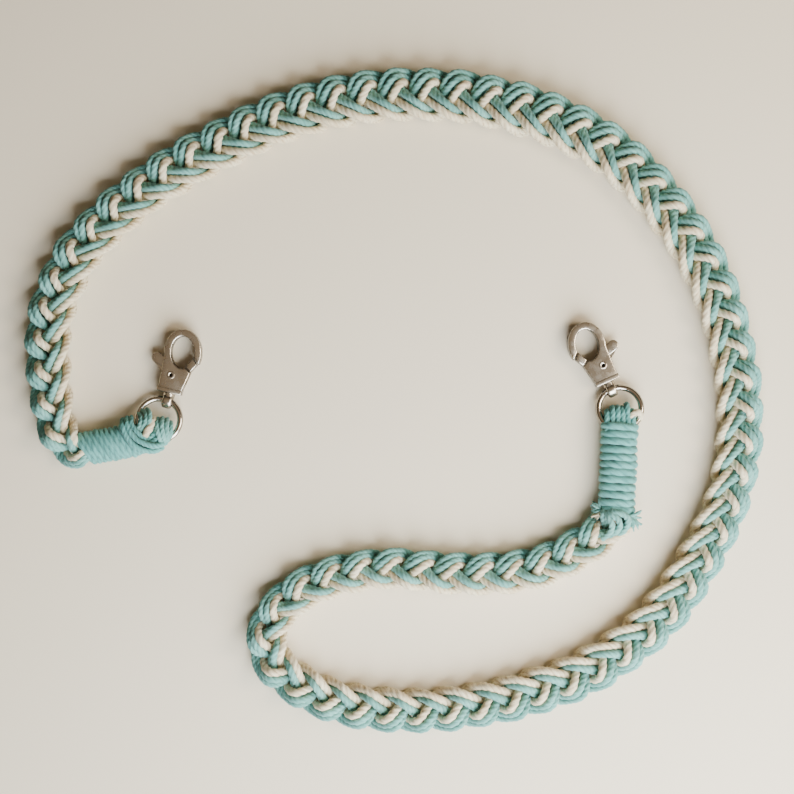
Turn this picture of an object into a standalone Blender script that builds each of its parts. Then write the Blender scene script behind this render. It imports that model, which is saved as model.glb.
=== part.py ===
"""A braided cotton strap lying flat, with a ring and a swivel trigger hook at each end. Units are metres, +Z is up."""

import math

import bmesh
import bpy
import numpy as np
from mathutils import Matrix, Vector

MM = 0.001
GAP = 0.3 * MM  # kept between pieces that touch

# The braid: three flat strands that swing from edge to edge and pass over and under each other
BRAID_WIDTH = 17.7 * MM
BRAID_HEIGHT = 10.6 * MM
BRAID_LIFT = 0.1 * MM  # the banked strands reach a little below their own height
BRAID_CYCLE = 35.4 * MM  # along the strap, until a strand is back where it began
STRAND_EDGE = 4.0 * MM  # a strand's width where it turns at the edge
ARM_GAP = 1.15 * MM  # between two neighbouring arms at the middle
STRAND_ROLL = math.radians(23)  # how far a strand banks as it crosses the middle
STRANDS = 3
STRAND_SIDES = 6
SECTIONS_PER_CYCLE = 8.8
# Shares of the braid's height: half of a strand's thickness
EDGE_THICK = 0.2
MIDDLE_THICK = 0.103

# The bound ends
WRAP_WIDTH = 14.8 * MM
WRAP_HEIGHT = 11.2 * MM
WRAP_PITCH = 2.8 * MM  # from one turn of the binding cord to the next
WRAP_RELIEF = 0.45 * MM  # how deep the grooves between the turns are
WRAP_SIDES = 12
LEFT_WRAP_SHARE = 0.93  # the left binding is a little slimmer

# The rings
RING_OUTER = 18.7 * MM
RING_WIRE = 2.3 * MM
RING_PLAY = 0.35 * MM  # round the wire inside the cords
RING_STEPS = 24
WIRE_SIDES = 8

# The trigger hooks, in their own frame: +Y from the eye to the bow, +X to the gate
HOOK_THICK = 5.4 * MM
BASE_WIDTH = 9.0 * MM
BOW_WIDTH = 14.4 * MM
BOW_LENGTH = 18.0 * MM
BOW_WIRE = 2.8 * MM
BOW_CENTRE_X = 1.7 * MM
BOW_CENTRE_Y = 16.3 * MM
BOW_LEAN = math.radians(12)
HOOK_BEVEL = 0.7 * MM
# Degrees round the bow from its +X side: the slanted nose's two corners, the gate's foot and the back
NOSE_IN_ANGLE = -17
NOSE_OUT_ANGLE = -31
FOOT_ANGLE = 285
BACK_ANGLE = 192
SLOT = 2.1 * MM
RIVET_X = -0.7 * MM
RIVET_Y = 6.8 * MM
RIVET_RADIUS = 1.0 * MM
RIVET_HEAD = 1.4 * MM
RIVET_PROUD = 0.25 * MM
LEVER_BOSS = 1.9 * MM
TAB_RADIUS = 1.9 * MM
TAB_REACH = 9.7 * MM  # from the swivel's axis to the tip of the thumb tab
TAB_Y = 12.2 * MM

# The swivel eyes
EYE_WIDTH = 5.7 * MM
EYE_LENGTH = 5.8 * MM
EYE_HOLE_WIDTH = 3.4 * MM
EYE_HOLE_LENGTH = 3.6 * MM
EYE_THICK = 1.8 * MM
SHANK_RADIUS = 0.95 * MM
HEAD_RADIUS = 1.75 * MM
HEAD_THICK = 1.2 * MM
BASE_PLATE = 2.8 * MM  # the hook's floor, which the shank passes

HOOK_AXIS_HEIGHT = HOOK_THICK / 2 + RIVET_PROUD

# The strap's centre line from the right binding to the left one, in millimetres: x, y and the share of BRAID_WIDTH
ROUTE = [
    (85.3, -46.0, 0.84), (82.0, -50.2, 0.87), (76.2, -54.9, 0.91), (67.5, -60.4, 0.92),
    (55.5, -65.0, 0.92), (40.0, -67.2, 0.91), (23.1, -67.3, 0.90), (5.0, -65.4, 0.89),
    (-13.0, -66.4, 0.89), (-28.5, -70.8, 0.89), (-41.0, -78.6, 0.88), (-47.5, -88.5, 0.87),
    (-47.0, -98.8, 0.88), (-38.5, -107.8, 0.92), (-22.5, -115.8, 0.94), (0.0, -119.4, 0.95),
    (24.0, -118.7, 0.97), (49.2, -113.8, 1.00), (76.5, -103.8, 1.02), (101.0, -85.6, 1.02),
    (118.5, -60.8, 1.00), (129.6, -35.8, 1.00), (133.6, -6.2, 1.00), (130.8, 18.1, 1.00),
    (123.5, 43.1, 1.04), (106.2, 72.7, 1.08), (80.0, 97.7, 1.13), (44.6, 112.7, 1.16),
    (6.9, 116.9, 1.17), (-31.5, 111.5, 1.15), (-67.7, 96.5, 1.10), (-100.0, 76.2, 1.06),
    (-123.1, 51.9, 1.02), (-131.3, 30.4, 1.00), (-131.9, 11.0, 0.96), (-130.4, -2.5, 0.90),
    (-128.2, -11.8, 0.84), (-125.6, -17.0, 0.79), (-122.3, -19.4, 0.77),
]
# Each bound end, in millimetres: where the binding starts at the braid and ends at the loop
ENTRY_SHARE = 0.78  # of BRAID_WIDTH, where the braid meets its bindings
WRAP_ENDS = {"right": ((86.3, -42.7), (87.4, -14.2)), "left": ((-118.2, -19.2), (-100.6, -16.0))}
# The middle of each folded bundle of cords, from near its binding to its tip inside the ring, in millimetres
LOOP_ROUTES = {
    "right": ((87.4, -9.6), (87.4, -5.4), (87.5, -1.6)),
    "left": ((-95.8, -15.0), (-91.8, -12.7), (-89.9, -8.2)),
}
# Sections of a folded bundle: share of its length, of the binding's width and of its height
LOOP_SECTIONS = [
    (0.00, 0.94, 0.96), (0.30, 0.98, 0.95), (0.58, 0.95, 0.88), (0.80, 0.86, 0.72), (0.93, 0.68, 0.50),
    (1.00, 0.40, 0.24),
]
LOOP_SIDES = 12
# Each hook: from the binding's end to the nearest wire of the ring, in millimetres, the way from there to
# the ring's middle, in degrees from +X, the hook's turn from +Y in degrees, the side that its gate is on,
# and how far the ring's middle lies off the swivel's axis, in millimetres
HOOKS = {
    "left": {"wire": 5.23154, "way": 36.93169, "turn": -13.2, "gate": 1, "ring_off": -1.5},
    "right": {"wire": 2.36434, "way": 88.29255, "turn": 24.0, "gate": -1, "ring_off": 0.0},
}

COLOURS = {
    "braid_cotton": ((0.36, 0.47, 0.41, 1), 0.9, 0.0),
    "binding_cotton": ((0.19, 0.40, 0.38, 1), 0.9, 0.0),
    "loop_cotton": ((0.21, 0.42, 0.39, 1), 0.9, 0.0),
    "hook_metal": ((0.48, 0.43, 0.37, 1), 0.32, 1.0),
    "lever_metal": ((0.46, 0.42, 0.37, 1), 0.30, 1.0),
    "eye_metal": ((0.44, 0.40, 0.36, 1), 0.34, 1.0),
    "ring_metal": ((0.52, 0.48, 0.44, 1), 0.25, 1.0),
}


def material(name):
    """The named material, made once."""
    found = bpy.data.materials.get(name)
    if found:
        return found
    colour, roughness, metallic = COLOURS[name]
    made = bpy.data.materials.new(name)
    made.use_nodes = True
    made.diffuse_color = colour
    shader = made.node_tree.nodes["Principled BSDF"]
    shader.inputs["Base Color"].default_value = colour
    shader.inputs["Roughness"].default_value = roughness
    shader.inputs["Metallic"].default_value = metallic
    return made


def finish(bm, name, colour, sharp=40.0):
    """Turn a bmesh into an object with its own material and smooth faces."""
    bmesh.ops.recalc_face_normals(bm, faces=bm.faces)
    mesh = bpy.data.meshes.new(name)
    bm.to_mesh(mesh)
    bm.free()
    mesh.shade_smooth()
    mesh.set_sharp_from_angle(angle=math.radians(sharp))
    obj = bpy.data.objects.new(name, mesh)
    obj.data.materials.append(material(colour))
    bpy.context.collection.objects.link(obj)
    return obj


def put_at(obj, matrix):
    """Place an object whose mesh is in its own frame."""
    obj.matrix_world = matrix
    return obj


def loft(rings):
    """A closed bmesh through rings of points, capped at both ends."""
    bm = bmesh.new()
    loops = [[bm.verts.new(point) for point in ring] for ring in rings]
    for ring, following in zip(loops, loops[1:]):
        for a, b in zip(range(len(ring)), [*range(1, len(ring)), 0]):
            bm.faces.new((ring[a], ring[b], following[b], following[a]))
    bm.faces.new(loops[0][::-1])
    bm.faces.new(loops[-1])
    return bm


def plate(outline, bottom, top, bevel=0.0):
    """A closed bmesh: an outline in x and y, given height, with its two rims bevelled."""
    bm = bmesh.new()
    face = bm.faces.new([bm.verts.new((x, y, bottom)) for x, y in outline])
    grown = bmesh.ops.extrude_face_region(bm, geom=[face])["geom"]
    bmesh.ops.translate(bm, verts=[g for g in grown if isinstance(g, bmesh.types.BMVert)], vec=(0, 0, top - bottom))
    bmesh.ops.recalc_face_normals(bm, faces=bm.faces)
    if bevel:
        rims = [e for e in bm.edges if abs(e.verts[0].co.z - e.verts[1].co.z) < GAP / 10]
        bmesh.ops.bevel(
            bm, geom=rims, offset=bevel, segments=1, profile=0.5, affect="EDGES", material=-1, clamp_overlap=True
        )
    return bm


def drum(radius, start, end, sides, axis="Z", centre=(0.0, 0.0)):
    """A closed bmesh: a cylinder along Z or Y from start to end."""
    bm = bmesh.new()
    middle = (start + end) / 2
    if axis == "Z":
        place = Matrix.Translation((centre[0], centre[1], middle))
    else:
        place = Matrix.Translation((centre[0], middle, 0)) @ Matrix.Rotation(math.pi / 2, 4, "X")
    bmesh.ops.create_cone(
        bm, cap_ends=True, segments=sides, radius1=radius, radius2=radius, depth=end - start, matrix=place
    )
    return bm


def combine(obj, bm, operation):
    """Apply one Boolean to an object with a shape given as a bmesh."""
    tool = finish(bm, f"{obj.name}_tool", obj.data.materials[0].name)
    tool.hide_render = True
    tool.display_type = "WIRE"
    step = obj.modifiers.new(operation.lower(), "BOOLEAN")
    step.operation = operation
    step.solver = "EXACT"
    step.object = tool
    graph = bpy.context.evaluated_depsgraph_get()
    result = bpy.data.meshes.new_from_object(obj.evaluated_get(graph))
    obj.modifiers.clear()
    obj.data = result
    bpy.data.objects.remove(tool)
    return obj


def smooth_curve(points, spacing):
    """Evenly spaced points on a smooth curve through the given ones, with as many columns as they have."""
    given = np.array(points, float)
    chord = np.r_[0, np.cumsum(np.linalg.norm(np.diff(given[:, :2], axis=0), axis=1))]
    slope = np.gradient(given, chord, axis=0)
    fine = []
    for i in range(len(given) - 1):
        span = chord[i + 1] - chord[i]
        t = np.linspace(0, 1, 40, endpoint=False)[:, None]
        fine.append(
            (2 * t**3 - 3 * t**2 + 1) * given[i] + (t**3 - 2 * t**2 + t) * span * slope[i]
            + (3 * t**2 - 2 * t**3) * given[i + 1] + (t**3 - t**2) * span * slope[i + 1]
        )
    fine = np.vstack([*fine, given[-1:]])
    along = np.r_[0, np.cumsum(np.linalg.norm(np.diff(fine[:, :2], axis=0), axis=1))]
    count = max(2, round(along[-1] / spacing) + 1)
    even = np.linspace(0, along[-1], count)
    return even, np.stack([np.interp(even, along, fine[:, c]) for c in range(fine.shape[1])], axis=1)


def strand_shape(phase, share):
    """A strand at a phase of its cycle: its swing to the side, its rise, its half width, half thickness and bank."""
    width = BRAID_WIDTH * share
    swing = (width - STRAND_EDGE * share) / 2
    steep = math.atan(2 * math.pi * swing / BRAID_CYCLE)
    middle = (BRAID_CYCLE / STRANDS * math.sin(steep) - ARM_GAP) / 2
    edge = STRAND_EDGE * share / 2
    thick = BRAID_HEIGHT * (EDGE_THICK + MIDDLE_THICK) / 2
    rise = BRAID_HEIGHT / 2 - thick
    turn = math.cos(2 * phase)
    return (
        swing * math.sin(phase),
        -rise * math.sin(2 * phase),
        (middle + edge) / 2 + (middle - edge) / 2 * turn,
        thick + BRAID_HEIGHT * (MIDDLE_THICK - EDGE_THICK) / 2 * turn,
        STRAND_ROLL * math.cos(phase),
    )


def wrap_axis(side):
    """A binding's axis: the point that it starts from at the braid, and its direction away from the braid."""
    start, end = (np.array(point) * MM for point in WRAP_ENDS[side])
    return start, (end - start) / np.linalg.norm(end - start)


def braid_end(side, way):
    """Where the braid ends in front of a binding, and which way it runs there."""
    start, away = wrap_axis(side)
    return start - away * 2 * GAP, away * way


def make_strand(number):
    """One strand of the braid: a flat tube along its own path round the route."""
    (first, leaving), (last, arriving) = braid_end("right", -1), braid_end("left", 1)
    points = [(*first, ENTRY_SHARE), *((x * MM, y * MM, share) for x, y, share in ROUTE), (*last, ENTRY_SHARE)]
    even, row = smooth_curve(points, BRAID_CYCLE / SECTIONS_PER_CYCLE)
    heading = np.gradient(row[:, :2], even, axis=0)
    heading[0], heading[-1] = leaving, arriving
    heading /= np.linalg.norm(heading, axis=1)[:, None]
    bend = np.gradient(np.unwrap(np.arctan2(heading[:, 1], heading[:, 0])), even)
    centres, shapes = [], []
    for i, s in enumerate(even):
        phase = 2 * math.pi * (s / BRAID_CYCLE + number / STRANDS)
        side, rise, half, thick, bank = strand_shape(phase, row[i, 2])
        outward = Vector((heading[i, 1], -heading[i, 0], 0))
        centres.append(Vector((row[i, 0], row[i, 1], BRAID_HEIGHT / 2 + BRAID_LIFT)) + outward * side + Vector((0, 0, rise)))
        # On the inside of a bend the arms crowd together, so the strand is squeezed there
        squeeze = min(1.0, max(0.55, 1 + bend[i] * side))
        shapes.append((half * squeeze, thick * squeeze**0.5, bank))
    rings = []
    for i, (centre, (half, thick, bank)) in enumerate(zip(centres, shapes)):
        ahead = (centres[min(i + 1, len(centres) - 1)] - centres[max(i - 1, 0)]).normalized()
        across = ahead.cross(Vector((0, 0, 1))).normalized()
        above = across.cross(ahead)
        if i in (0, len(centres) - 1):
            # The ends are cut square to the strap, face to face with the binding
            across = Vector((heading[i, 1], -heading[i, 0], 0))
            above = Vector((0, 0, 1))
        tilted = across * math.cos(bank) + above * math.sin(bank)
        normal = above * math.cos(bank) - across * math.sin(bank)
        ring = []
        for k in range(STRAND_SIDES):
            angle = 2 * math.pi * (k + 0.5) / STRAND_SIDES
            ring.append(centre + tilted * half * math.cos(angle) / math.cos(math.pi / STRAND_SIDES)
                        + normal * thick * math.sin(angle))
        rings.append(ring)
    return finish(loft(rings), f"braid_strand_{number + 1}", "braid_cotton", sharp=60)


def frame_along(start, end, height):
    """A matrix whose +X runs from start to end, in millimetres, at a height."""
    a, b = Vector((*start, 0)) * MM, Vector((*end, 0)) * MM
    ahead = (b - a).normalized()
    across = Vector((0, 0, 1)).cross(ahead)
    turned = Matrix((ahead, across, (0, 0, 1))).transposed().to_4x4()
    return Matrix.Translation(a + Vector((0, 0, height))) @ turned, (b - a).length


def wrap_size(side):
    """Width and height of a binding."""
    share = LEFT_WRAP_SHARE if side == "left" else 1.0
    return WRAP_WIDTH * share, WRAP_HEIGHT * share


def make_wrap(side):
    """The binding: an oval barrel with a ridge for each turn of its cord."""
    place, length = frame_along(*WRAP_ENDS[side], wrap_size(side)[1] / 2)
    turns = max(3, round(length / WRAP_PITCH))
    width, height = wrap_size(side)
    rings = []
    for i in range(2 * turns + 1):
        relief = 0.0 if i % 2 else WRAP_RELIEF
        half, tall = width / 2 - relief, height / 2 - relief
        ring = [
            (length * i / (2 * turns), half * math.cos(2 * math.pi * k / WRAP_SIDES),
             tall * math.sin(2 * math.pi * k / WRAP_SIDES))
            for k in range(WRAP_SIDES)
        ]
        rings.append(ring)
    return put_at(finish(loft(rings), f"wrap_{side}", "binding_cotton", sharp=60), place)


def ring_middle(side):
    """The ring's middle, and how far it lies from the eye's end of the hook's frame: the cords hold its wire."""
    hook, radius = HOOKS[side], (RING_OUTER - RING_WIRE) / 2
    way = math.radians(hook["way"])
    end = Vector((*WRAP_ENDS[side][1], 0)) * MM
    middle = end + Vector((math.cos(way), math.sin(way), 0)) * (hook["wire"] * MM + radius)
    in_eye = -(GAP + (EYE_LENGTH - EYE_HOLE_LENGTH) / 2 + RING_PLAY + RING_WIRE / 2)
    off = hook["ring_off"] * MM
    return middle, Vector((off, in_eye - math.sqrt(radius**2 - off**2), 0))


def hook_matrix(side):
    """The hook's own frame: its origin on the swivel's axis at the base, beyond the ring."""
    middle, local = ring_middle(side)
    turned = Matrix.Rotation(math.radians(HOOKS[side]["turn"]), 4, "Z")
    base = middle - turned @ local
    return Matrix.Translation((base.x, base.y, HOOK_AXIS_HEIGHT)) @ turned


def ring_matrix(side):
    """The ring's own frame: it hangs in the eye at one side and in the cords at the other."""
    radius, in_cords = (RING_OUTER - RING_WIRE) / 2, wrap_size(side)[1] / 2
    middle = ring_middle(side)[0]
    middle.z = (HOOK_AXIS_HEIGHT + in_cords) / 2
    lift = math.asin((in_cords - HOOK_AXIS_HEIGHT) / (2 * radius))
    turned = Matrix.Rotation(math.radians(HOOKS[side]["turn"]), 4, "Z") @ Matrix.Rotation(-lift, 4, "X")
    return Matrix.Translation(middle) @ turned


def torus(radius, wire, steps, sides):
    """A closed bmesh: a ring of round wire in the XY plane."""
    bm = bmesh.new()
    circle = bmesh.ops.create_circle(
        bm, segments=sides, radius=wire,
        matrix=Matrix.Translation((radius, 0, 0)) @ Matrix.Rotation(math.pi / 2, 4, "X"),
    )
    edges = list({edge for vert in circle["verts"] for edge in vert.link_edges})
    bmesh.ops.spin(
        bm, geom=circle["verts"] + edges, cent=(0, 0, 0), axis=(0, 0, 1), angle=2 * math.pi, steps=steps,
        use_merge=True,
    )
    return bm


def make_ring(side):
    """A round wire ring."""
    radius = (RING_OUTER - RING_WIRE) / 2
    ring = finish(torus(radius, RING_WIRE / 2, RING_STEPS, WIRE_SIDES), f"ring_{side}", "ring_metal", sharp=80)
    return put_at(ring, ring_matrix(side))


def make_loop(side):
    """The cords folded over the ring: a padded bundle with a channel for the wire."""
    width, height = wrap_size(side)
    end, away = np.array(WRAP_ENDS[side][1]) * MM, wrap_axis(side)[1]
    points = [end + away * GAP, end + away * (GAP + MM), *(np.array(point) * MM for point in LOOP_ROUTES[side])]
    _, path = smooth_curve(points, 0.1 * MM)
    rings = []
    for along, wide, tall in LOOP_SECTIONS:
        i = min(int(along * (len(path) - 1)), len(path) - 2)
        centre = path[-1] if along == 1 else path[i]
        ahead = path[i + 1] - path[i]
        ahead /= np.linalg.norm(ahead)
        across = Vector((-ahead[1], ahead[0], 0))
        ring = []
        for k in range(LOOP_SIDES):
            angle = 2 * math.pi * k / LOOP_SIDES
            ring.append(Vector((*centre, height / 2)) + across * width / 2 * wide * math.cos(angle)
                        + Vector((0, 0, height / 2 * tall * math.sin(angle))))
        rings.append(ring)
    loop = finish(loft(rings), f"cord_loop_{side}", "loop_cotton", sharp=60)
    channel = torus((RING_OUTER - RING_WIRE) / 2, RING_WIRE / 2 + RING_PLAY, RING_STEPS, WIRE_SIDES)
    channel.transform(ring_matrix(side))
    return combine(loop, channel, "DIFFERENCE")


def bow_point(degrees, inset=0.0):
    """A point on the bow's leaning oval, set in from its outside."""
    a = math.radians(degrees)
    x, y = (BOW_WIDTH / 2 - inset) * math.cos(a), (BOW_LENGTH / 2 - inset) * math.sin(a)
    return (
        BOW_CENTRE_X + x * math.cos(BOW_LEAN) - y * math.sin(BOW_LEAN),
        BOW_CENTRE_Y + x * math.sin(BOW_LEAN) + y * math.cos(BOW_LEAN),
    )


def hook_outline():
    """The cast body and its open bow, from the base on the gate's side round to the other side."""
    foot = bow_point(FOOT_ANGLE, BOW_WIRE)
    outside = [bow_point(NOSE_OUT_ANGLE + (BACK_ANGLE - NOSE_OUT_ANGLE) * i / 15) for i in range(16)]
    inside = [bow_point(NOSE_IN_ANGLE + (FOOT_ANGLE - NOSE_IN_ANGLE) * i / 16, BOW_WIRE) for i in range(17)]
    cheek = BASE_WIDTH * 0.7, RIVET_Y + LEVER_BOSS * 1.32
    base = BASE_WIDTH / 2
    return [(base, 0), cheek, *reversed(inside), *outside, (-base, 0)], cheek, foot


def mirrored(bm, gate):
    """Turn a hook's shape over for the side that its gate is on."""
    if gate < 0:
        bmesh.ops.scale(bm, vec=(-1, 1, 1), verts=bm.verts)
        bmesh.ops.reverse_faces(bm, faces=bm.faces)
    return bm


def make_hook_body(side):
    """The cast body: cheeks, bow, slot for the lever, floor for the swivel, and the rivet."""
    gate = HOOKS[side]["gate"]
    half = HOOK_THICK / 2
    outline, _, foot = hook_outline()
    body = finish(plate(outline, -half, half, HOOK_BEVEL), f"hook_body_{side}", "hook_metal")
    pocket_top = BASE_PLATE + HEAD_THICK + 2 * GAP
    slot_top = TAB_Y + TAB_RADIUS + GAP
    # On the gate's side the slot stops below the nose
    reach, below_nose = BOW_WIDTH, foot[1] + 2 * GAP
    slot = [
        (-reach, pocket_top - GAP), (reach, pocket_top - GAP), (reach, below_nose), (BOW_CENTRE_X, below_nose),
        (BOW_CENTRE_X, slot_top), (-reach, slot_top),
    ]
    combine(body, plate(slot, -SLOT / 2, SLOT / 2), "DIFFERENCE")
    combine(body, drum(HEAD_RADIUS + GAP, BASE_PLATE, pocket_top, 14, "Y"), "DIFFERENCE")
    combine(body, drum(SHANK_RADIUS + GAP, -GAP, BASE_PLATE + GAP, 12, "Y"), "DIFFERENCE")
    shaft = drum(RIVET_RADIUS, -half - RIVET_PROUD / 2, half + RIVET_PROUD / 2, 12, "Z", (RIVET_X, RIVET_Y))
    combine(body, shaft, "UNION")
    for way in (-1, 1):
        low, high = sorted((way * (half - GAP), way * (half + RIVET_PROUD)))
        combine(body, drum(RIVET_HEAD, low, high, 14, "Z", (RIVET_X, RIVET_Y)), "UNION")
    flip_mesh(body, gate)
    return put_at(body, hook_matrix(side))


def flip_mesh(obj, gate):
    """Mirror a finished mesh for the other hand."""
    bm = bmesh.new()
    bm.from_mesh(obj.data)
    mirrored(bm, gate)
    bm.to_mesh(obj.data)
    bm.free()


def from_rivet(point, distance):
    """The point in the same direction from the rivet at a distance from it."""
    rivet = Vector((RIVET_X, RIVET_Y))
    return rivet + (Vector(point) - rivet).normalized() * distance


def make_lever(side):
    """The lever: gate, arm on the rivet, and thumb tab, in one piece."""
    gate = HOOKS[side]["gate"]
    _, cheek, foot = hook_outline()
    # The gate's tip is an arc round the rivet, so that it swings inward past the nose
    nose_in, nose_out = bow_point(NOSE_IN_ANGLE, BOW_WIRE), bow_point(NOSE_OUT_ANGLE)
    reach = (Vector(nose_in) - Vector((RIVET_X, RIVET_Y))).length - 1.5 * GAP
    between = (Vector(nose_in) + Vector(nose_out)) / 2
    tip_out, tip, tip_in = (from_rivet(point, reach) for point in (nose_out, between, nose_in))
    up = Vector((0, GAP))
    root_out, root_in = Vector(cheek) + up, Vector(foot) + up
    gate_half = HOOK_THICK / 2 - GAP
    name = f"hook_lever_{side}"
    outline = [root_out, tip_out, tip, tip_in, root_in]
    lever = finish(plate(outline, -gate_half, gate_half, HOOK_BEVEL / 2), name, "lever_metal")
    tab = [
        (-TAB_REACH + TAB_RADIUS * (1 + math.cos(a)), TAB_Y + TAB_RADIUS * math.sin(a))
        for a in (math.radians(d) for d in (95, 125, 155, 185, 215, 240))
    ]
    boss = [
        (RIVET_X + LEVER_BOSS * math.cos(a), RIVET_Y + LEVER_BOSS * math.sin(a))
        for a in (math.radians(d) for d in (200, 225, 250, 275, 300, 325))
    ]
    inner, outer = root_in.lerp(tip_in, 0.25), root_out.lerp(tip_out, 0.25)
    under = Vector(cheek) - Vector((GAP, GAP))
    # The arm's upper edge follows the bow's opening and stays under it
    saddle = [bow_point(degrees, BOW_WIRE * 0.75) for degrees in (278, 258, 236, 214)]
    arm = [*tab, *boss, under, outer, inner, *saddle]
    thin = (SLOT - 2 * GAP) / 2
    combine(lever, plate(arm, -thin, thin), "UNION")
    combine(lever, drum(RIVET_RADIUS + GAP, -SLOT, SLOT, 14, "Z", (RIVET_X, RIVET_Y)), "DIFFERENCE")
    lever.data.transform(Matrix.Translation((-RIVET_X, -RIVET_Y, 0)))
    flip_mesh(lever, gate)
    pivot = Matrix.Translation((gate * RIVET_X, RIVET_Y, 0))
    return put_at(lever, hook_matrix(side) @ pivot)


def make_eye(side):
    """The swivel's eye with its shank and its head inside the hook."""
    def oval(width, length, count=16):
        turns = [2 * math.pi * i / count for i in range(count)]
        return [(length / 2 * math.cos(a), width / 2 * math.sin(a)) for a in turns]

    flat = plate(oval(EYE_WIDTH, EYE_LENGTH), -EYE_THICK / 2, EYE_THICK / 2, EYE_THICK / 5)
    eye = finish(flat, f"swivel_eye_{side}", "eye_metal")
    combine(eye, plate(oval(EYE_HOLE_WIDTH, EYE_HOLE_LENGTH), -EYE_THICK, EYE_THICK), "DIFFERENCE")
    # The oval was drawn lying down with its length along X: stand it up behind the hook's base
    stand = Matrix.Rotation(math.pi / 2, 4, "Y") @ Matrix.Rotation(math.pi / 2, 4, "Z")
    eye.data.transform(Matrix.Translation((0, -GAP - EYE_LENGTH / 2, 0)) @ stand)
    wall = (EYE_LENGTH - EYE_HOLE_LENGTH) / 2
    shank_end = BASE_PLATE + GAP + HEAD_THICK / 2
    combine(eye, drum(SHANK_RADIUS, -GAP - wall * 0.7, shank_end, 12, "Y"), "UNION")
    combine(eye, drum(HEAD_RADIUS, BASE_PLATE + GAP, BASE_PLATE + GAP + HEAD_THICK, 14, "Y"), "UNION")
    return put_at(eye, hook_matrix(side))


def centre_all():
    """Move everything so that the origin lies under the middle of the whole strap."""
    bpy.context.view_layer.update()
    corners = np.array([
        tuple(obj.matrix_world @ vert.co) for obj in bpy.data.objects for vert in obj.data.vertices
    ])
    middle = (corners.min(axis=0) + corners.max(axis=0)) / 2
    for obj in bpy.data.objects:
        obj.matrix_world = Matrix.Translation((-middle[0], -middle[1], 0)) @ obj.matrix_world


def main():
    for obj in list(bpy.data.objects):
        bpy.data.objects.remove(obj, do_unlink=True)
    for number in range(STRANDS):
        make_strand(number)
    for side in ("left", "right"):
        make_wrap(side)
        make_loop(side)
        make_ring(side)
        make_eye(side)
        make_hook_body(side)
        make_lever(side)
    centre_all()


main()
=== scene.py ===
# %% [markdown]
# # A braided camera strap
# The strap is a flat braid of cotton cord in two colours. Each end is bound with more cord, folds over
# a wire ring, and carries a small cast trigger hook on a swivel. The model was first built as plain
# solids for the physics. This lesson dresses those solids: the cords are modelled one by one, and the
# metal gets its fine edges.

import math
import random

import bmesh
import bpy
import numpy as np
from mathutils import Matrix, Vector


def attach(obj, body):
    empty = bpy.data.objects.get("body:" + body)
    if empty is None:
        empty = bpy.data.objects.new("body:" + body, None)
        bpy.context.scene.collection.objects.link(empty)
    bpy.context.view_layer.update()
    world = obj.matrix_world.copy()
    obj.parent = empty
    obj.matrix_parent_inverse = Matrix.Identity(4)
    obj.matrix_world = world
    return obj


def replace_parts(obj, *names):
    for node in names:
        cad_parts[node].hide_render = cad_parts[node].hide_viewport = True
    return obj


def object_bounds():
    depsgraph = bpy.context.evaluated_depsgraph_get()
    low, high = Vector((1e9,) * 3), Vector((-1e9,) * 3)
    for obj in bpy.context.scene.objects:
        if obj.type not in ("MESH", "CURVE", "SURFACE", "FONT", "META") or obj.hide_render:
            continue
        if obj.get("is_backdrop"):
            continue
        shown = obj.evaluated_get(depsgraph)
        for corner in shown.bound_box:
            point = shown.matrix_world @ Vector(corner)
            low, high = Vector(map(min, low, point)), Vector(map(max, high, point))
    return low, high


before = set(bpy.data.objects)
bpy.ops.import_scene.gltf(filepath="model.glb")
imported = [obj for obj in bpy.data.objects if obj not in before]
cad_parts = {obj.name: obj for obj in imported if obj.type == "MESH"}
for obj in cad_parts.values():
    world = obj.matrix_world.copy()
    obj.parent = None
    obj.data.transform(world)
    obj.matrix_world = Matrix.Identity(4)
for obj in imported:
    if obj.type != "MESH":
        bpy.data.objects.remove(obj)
solid_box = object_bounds()
MM = 0.001
print("solids", len(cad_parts), "box", [tuple(round(v, 4) for v in corner) for corner in solid_box])

# %% [markdown]
# ## The camera
# The strap was photographed from straight above. A camera that looks down has its picture's up along
# +Y, so it needs no turn at all. Its lens follows from its height and from how much of the table the
# picture shows.

# %% Camera
PICTURE_WIDTH = 305.4 * MM  # the stretch of table from the left edge of the picture to the right one
PICTURE_CENTRE = Vector((1.02, 1.2, 0)) * MM
CAMERA_HEIGHT = 620 * MM
STRAP_HEIGHT = 5 * MM  # the picture is that wide at this height, the middle of the braid

lens_data = bpy.data.cameras.new("camera")
lens_data.lens = lens_data.sensor_width * (CAMERA_HEIGHT - STRAP_HEIGHT) / PICTURE_WIDTH
lens_data.clip_start = 0.01
camera = bpy.data.objects.new("camera", lens_data)
camera.location = PICTURE_CENTRE + Vector((0, 0, CAMERA_HEIGHT))
bpy.context.scene.collection.objects.link(camera)
bpy.context.scene.camera = camera
print("lens", round(lens_data.lens, 1), "mm")

# %% [markdown]
# ## Helpers for materials
# A material is a small tree of nodes. These two helpers add a node with its values and link it, so that
# each material below reads from top to bottom as a recipe.


# %% Node helpers
def new_material(name, roughness, metallic=0.0, **sockets):
    """A material with a Principled shader, and that shader."""
    made = bpy.data.materials.new(name)
    made.use_nodes = True
    shader = made.node_tree.nodes["Principled BSDF"]
    shader.inputs["Roughness"].default_value = roughness
    shader.inputs["Metallic"].default_value = metallic
    for socket, value in sockets.items():
        shader.inputs[socket.replace("_", " ")].default_value = value
    return made, shader


def add_node(tree, kind, settings=None, **inputs):
    """A node of that kind. An input is a value, or another node's output to link."""
    node = tree.nodes.new("ShaderNode" + kind)
    for key, value in (settings or {}).items():
        setattr(node, key, value)
    for key, value in inputs.items():
        by_number = key[0] == "i" and key[1:].isdigit()
        socket = node.inputs[int(key[1:]) if by_number else key.replace("_", " ")]
        if isinstance(value, bpy.types.NodeSocket):
            tree.links.new(value, socket)
        else:
            socket.default_value = value
    return node


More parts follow.
